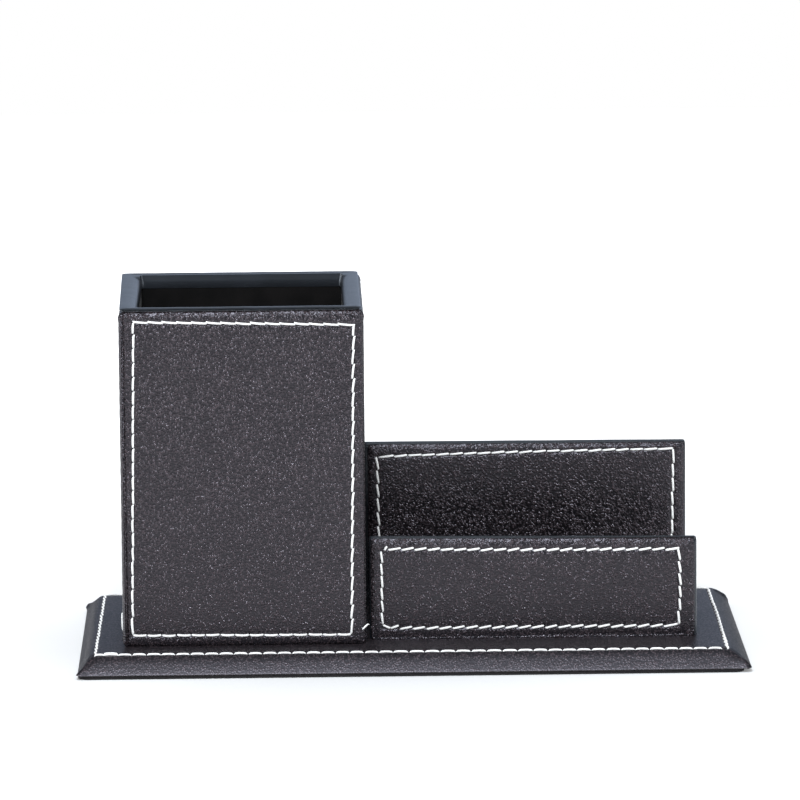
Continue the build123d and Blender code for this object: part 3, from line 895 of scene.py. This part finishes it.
# flecks of about 0.8 mm
flecks = add_node(tree, "TexNoise", {"Vector": place, "Scale": 1200, "Detail": 5, "Roughness": 0.7})
tone = add_node(tree, "ValToRGB", {"Fac": flecks.outputs["Fac"]}, [(0.35, "#7d766c"), (0.6, "#a49c90")])
relief = add_node(tree, "Bump", {"Height": flecks.outputs["Fac"], "Strength": 0.3, "Distance": 0.05 * mm})
pulp = add_node(tree, "BsdfPrincipled", {"Base Color": tone.outputs["Color"], "Normal": relief.outputs[0],
                                         "Roughness": 0.9, "Specular IOR Level": 0.3})
add_node(tree, "OutputMaterial", {"Surface": pulp.outputs[0]})
for side in sides:
    coat_node("cup_" + side + "_card", greyboard)


# Seams of the cup's panels
# The same white thread as on the base. Sewn by machine at a long stitch: along the top and the right the
# stitches nearly touch, down the left and along the foot they leave short gaps, and each starts with a spur.
spurred = [(-1.02, 0.34, -0.55, 0.55), (-0.97, 0.3, -0.12, 0.75), (-0.82, 0.12, 0.06, 0.95),
           (-0.4, 0.03, 0.08, 1.0), (0.15, -0.02, 0.08, 1.0), (0.65, -0.04, 0.04, 0.97),
           (0.9, -0.03, -0.16, 0.85), (1.0, 0, -0.55, 0.6)]
sagging = [(-0.98, 0.1, -0.6, 0.6), (-0.88, 0.08, -0.22, 0.85), (-0.7, 0.02, 0.0, 0.97),
           (-0.25, -0.05, 0.07, 1.0), (0.25, -0.06, 0.07, 1.0), (0.7, 0.0, 0.0, 0.97),
           (0.88, 0.06, -0.22, 0.85), (0.98, 0.08, -0.6, 0.6)]
spurred_stitch = make_stitch("spurred_stitch", stitch_length, 0.68 * mm, spurred)
sagging_stitch = make_stitch("sagging_stitch", stitch_length, 0.74 * mm, sagging)

for side in sides:
    node = "cup_" + side + "_leather"
    width, height = flat_size(node, turns[side])
    at_left, at_right, sunk = (value * mm for value in cup_fit[side])
    top_row, left_row, right_row, foot_row = centred_rows(cup_seams[side], width + at_left + at_right, height)
    stitches = sew_row(spurred_stitch, top_row, (-2, -2), 1, 1.1)
    stitches += sew_row(spurred_stitch, left_row, (1, 6), 1, 0.97)
    right_column = sew_row(spurred_stitch, right_row, (-3, -3), 1, 1.06)
    stitches += right_column + sew_row(sagging_stitch, foot_row, (0, 0), 1, 0.98)
    for stitch in stitches:
        stitch.location.z -= (0.6 if side in ("left", "right") else 0.1) * mm
    if side == "left":
        # in the column near the front, the last stitch above the foot was left long and loose
        right_column[-1].scale.x *= 1.17
        right_column[-1].location += Vector((0, 1.5, 0.58)) * mm
    seam = join_pieces("cup_" + side + "_seam", stitches)
    stand_up(seam, node, turns[side], (at_right - at_left) / 2, sunk)
    if side == "right":
        # one stitch was sewn over the panel's front edge near the foot
        low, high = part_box(node)
        crossing = spurred_stitch.copy()
        crossing.data = spurred_stitch.data.copy()
        scene.collection.objects.link(crossing)
        crossing.hide_render = False
        crossing.scale = (0.6, 0.8, 0.8)
        crossing.rotation_euler = (0, math.radians(-42), math.radians(20))
        crossing.location = (high.x - 0.15 * mm, low.y - 0.15 * mm, low.z + 5.4 * mm)
        seam = join_pieces("cup_right_seam", [seam, crossing])
    seam.data.materials.append(white_thread)
    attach(seam, "root")
    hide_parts("cup_" + side + "_thread")


# Boards of the card holder
# Two upright slabs of sawn MDF, the front one low and the back one tall. Thin smooth leather is glued
# round the back, the ends and the top, and ends at the front under the stitched panel.
boards = ("front_board", "back_board")
wrap_leather = 0.6 * mm
wrap_edge = 0.7 * mm
wrap_wave = 0.05 * mm
# the leather turned over in front, behind the stitched panel: how far it stands before the CAD piece, and how
# wide it is
turned_ahead = 0.35 * mm
turned_border = 4 * mm
front_fall = 0.75 * mm
# how much higher or lower than its CAD piece the top of each cover lies at its left and right end
wrap_tops = {"front_board": (0.62 * mm, -0.3 * mm), "back_board": (0.4 * mm, 0.05 * mm)}


def top_lift(board, x, y):
    """How far the top of a cover lies above its CAD piece there: it is not quite level, and falls to the
    front."""
    low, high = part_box(board + "_wrap")
    at_left, at_right = wrap_tops[board]
    lift = at_left + (at_right - at_left) * (x - low.x) / (high.x - low.x)
    return lift - front_fall * (high.y - y) / (high.y - low.y)


for number, board in enumerate(boards):
    low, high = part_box(board + "_core")
    slab = solid_block(board + "_slab", low, high)
    for vertex in slab.data.vertices:
        if vertex.co.z > high.z - 0.1 * mm:
            vertex.co.z += top_lift(board, vertex.co.x, vertex.co.y) - 0.1 * mm
    finish_mesh(slab)
    slab.data.materials.append(fibreboard)
    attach(slab, "root")
    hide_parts(board + "_core")

    low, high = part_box(board + "_wrap")
    wrap = solid_block(board + "_cover", (low.x, low.y - turned_ahead, low.z), high)
    edit("FACE")
    pick("FACE", lambda f: f.normal.z < -0.9)
    bpy.ops.mesh.delete(type="FACE")
    pick("EDGE", lambda e: len(e.link_faces) == 2)
    bpy.ops.mesh.bevel(offset=wrap_edge, segments=4, profile=0.5, affect="EDGES")
    # in front the leather is turned over by a border that the stitched panel covers
    pick("FACE", lambda f: f.normal.y < -0.99)
    bpy.ops.mesh.inset(thickness=turned_border, use_boundary=True)
    bpy.ops.mesh.delete(type="FACE")
    pick("EDGE", lambda e: edge_is(e, 0, 20 * mm))
    bpy.ops.mesh.subdivide(number_cuts=60, smoothness=0)
    pick("EDGE", lambda e: edge_is(e, 2, 20 * mm))
    bpy.ops.mesh.subdivide(number_cuts=round((high.z - low.z) / (1.6 * mm)), smoothness=0)
    bpy.ops.object.mode_set(mode="OBJECT")
    for vertex in wrap.data.vertices:
        x, y, z = vertex.co
        vertex.co.z += top_lift(board, x, y) * eased((z - high.z + 4 * mm) / (3 * mm))
        if board == "front_board":
            # its right end stands out a little
            vertex.co.x += 0.25 * mm * eased((x - high.x + 2 * mm) / (1 * mm))
        spot = Vector((x, y, z + number)) / (9 * mm)
        wave = wrap_wave * (noise.noise(spot) - 0.5)
        if y > high.y - 0.3 * mm:
            vertex.co.y += wave
        if z > high.z - 0.3 * mm:
            vertex.co.z += wave
    thick = wrap.modifiers.new("leather thickness", "SOLIDIFY")
    thick.thickness = wrap_leather
    thick.offset = -1
    bpy.context.view_layer.objects.active = wrap
    bpy.ops.object.modifier_apply(modifier=thick.name)
    finish_mesh(wrap, 50)
    wrap.data.materials.append(smooth_leather)
    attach(wrap, "root")
    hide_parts(board + "_wrap")


# Stitched faces of the boards
# Made like the cup's panels and glued on the front of each board, a little inside its ends and below its
# top. Their stitches are a little shorter and lean more than the cup's.

# along the top, down the left, down the right, along the foot; in mm from the panel's foot left corner
board_seams = {"front_board": [row_of_holes((5.2, 27.6), (92.7, 26.65), 3.95, 4.4, 22, -0.2),
                               row_of_holes((3.25, 26.95), (3.4, 4.45), 3.75, 3.75, 6),
                               row_of_holes((92.42, 26.95), (92.32, 3.5), 3.95, 4.2, 6, 0.5),
                               row_of_holes((8.5, 3.35), (92.4, 3.2), 3.97, 4.6, 21)],
               "back_board": [row_of_holes((3.5, 47.15), (93.85, 48.6), 4.6, 4.9, 21, 0.3),
                              row_of_holes((3.0, 47.1), (3.4, 3.4), 4.2, 4.6, 10),
                              row_of_holes((93.85, 48.6), (93.1, 3.4), 4.6, 5.6, 10),
                              row_of_holes((3.4, 3.4), (92.8, 3.4), 4.2, 4.4, 21)]}
# how much higher or lower than its CAD piece the top of each face lies at its left and right end
face_tops = {"front_board": (0.65 * mm, -0.35 * mm), "back_board": (0.25 * mm, -0.15 * mm)}
for number, board in enumerate(boards):
    node = board + "_leather"
    width, height = flat_size(node, 0)
    rows = centred_rows(board_seams[board], width, height)
    swell = 0.75 * mm if board == "front_board" else 0.0
    panel = turned_panel(board + "_face", width, height, rows, number + 6,
                         swollen_foot=swell, top_shift=face_tops[board])
    stand_up(panel, node, 0)
    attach(panel, "root")
    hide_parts(node)
    coat_node(board + "_card", greyboard)

leaning = [(-0.98, -0.05, -0.6, 0.65), (-0.9, -0.05, -0.24, 0.85), (-0.72, -0.04, 0.0, 0.97),
           (-0.3, 0.0, 0.07, 1.0), (0.3, 0.02, 0.07, 1.0), (0.72, 0.05, 0.0, 0.97),
           (0.9, 0.06, -0.24, 0.85), (0.98, 0.06, -0.6, 0.65)]
leaning_stitch = make_stitch("leaning_stitch", stitch_length, 0.7 * mm, leaning)
# tilts of the stitches along the top, down the left, down the right and along the foot, in degrees
row_tilts = {"front_board": (8, 4, 6, 9), "back_board": (3, 5, 3, 4)}
for board in boards:
    node = board + "_leather"
    width, height = flat_size(node, 0)
    stitches = []
    for row, tilt in zip(centred_rows(board_seams[board], width, height), row_tilts[board]):
        stitches += sew_row(leaning_stitch, row, (tilt, tilt))
    if board == "front_board":
        # one stitch crosses the top left corner, and a slack one the foot left corner
        across = [row_of_holes((4.05, 27.25), (5.05, 28.5), 0.5, 0.5, 3),
                  row_of_holes((3.55, 4.4), (8.45, 4.1), 1, 1, 3)]
        corner, slack = centred_rows([[row[0], row[-1]] for row in across], width, height)
        stitches += sew_row(leaning_stitch, corner)
        slack.insert(1, (slack[0] + slack[1]) / 2 + Vector((-0.2, -1.0, 0)) * mm)
        stitches += sew_row(leaning_stitch, slack)
    for stitch in stitches:
        stitch.location.z -= 0.1 * mm
    seam = join_pieces(board + "_seam", stitches)
    seam.data.materials.append(white_thread)
    stand_up(seam, node, 0)
    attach(seam, "root")
    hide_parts(board + "_thread")


# The stitches that were copied have done their work
clear_selection()
for pattern in (base_stitch, spurred_stitch, sagging_stitch, leaning_stitch):
    bpy.data.objects.remove(pattern)
